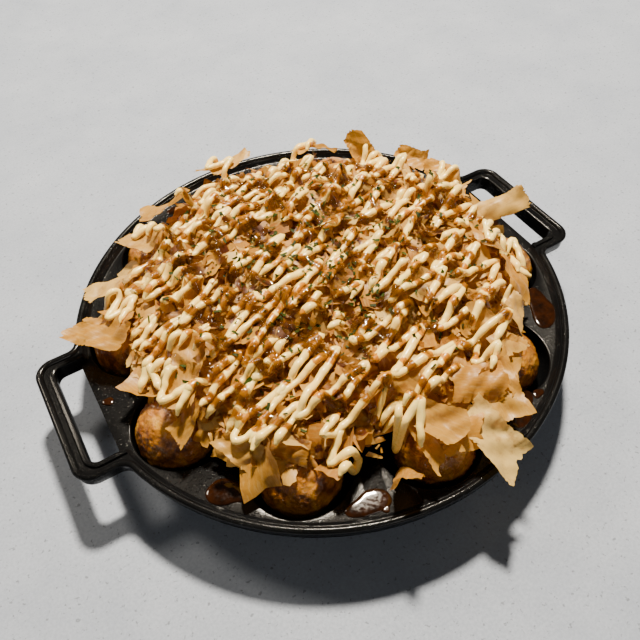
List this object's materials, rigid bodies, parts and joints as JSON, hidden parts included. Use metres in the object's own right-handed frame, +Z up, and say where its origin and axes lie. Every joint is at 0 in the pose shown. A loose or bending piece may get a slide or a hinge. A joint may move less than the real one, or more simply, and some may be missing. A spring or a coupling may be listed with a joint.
{
  "type": "takoyaki balls in a cast-iron pan",
  "caption": "Round cast-iron pan with loop handles and bowl-shaped wells, filled with browned takoyaki balls under a heap of bonito flakes, mayonnaise and sauce.",
  "frame": {"origin": "on the table under the middle of the pan", "axes": "+Z up, X through the two loop handles, so X is the longest extent"},
  "size_m": [0.271, 0.24, 0.0593],
  "materials": {
    "pan": "satin",
    "ball": "gloss",
    "topping": "matte"
  },
  "bodies": {
    "root": {"pan": "pan", "ball_01": "ball", "ball_02": "ball", "ball_03": "ball", "ball_04": "ball", "ball_05": "ball", "ball_06": "ball", "ball_07": "ball", "ball_08": "ball", "ball_09": "ball", "ball_10": "ball", "ball_11": "ball", "ball_12": "ball", "ball_13": "ball", "ball_14": "ball", "topping": "topping"}
  },
  "joints": []
}
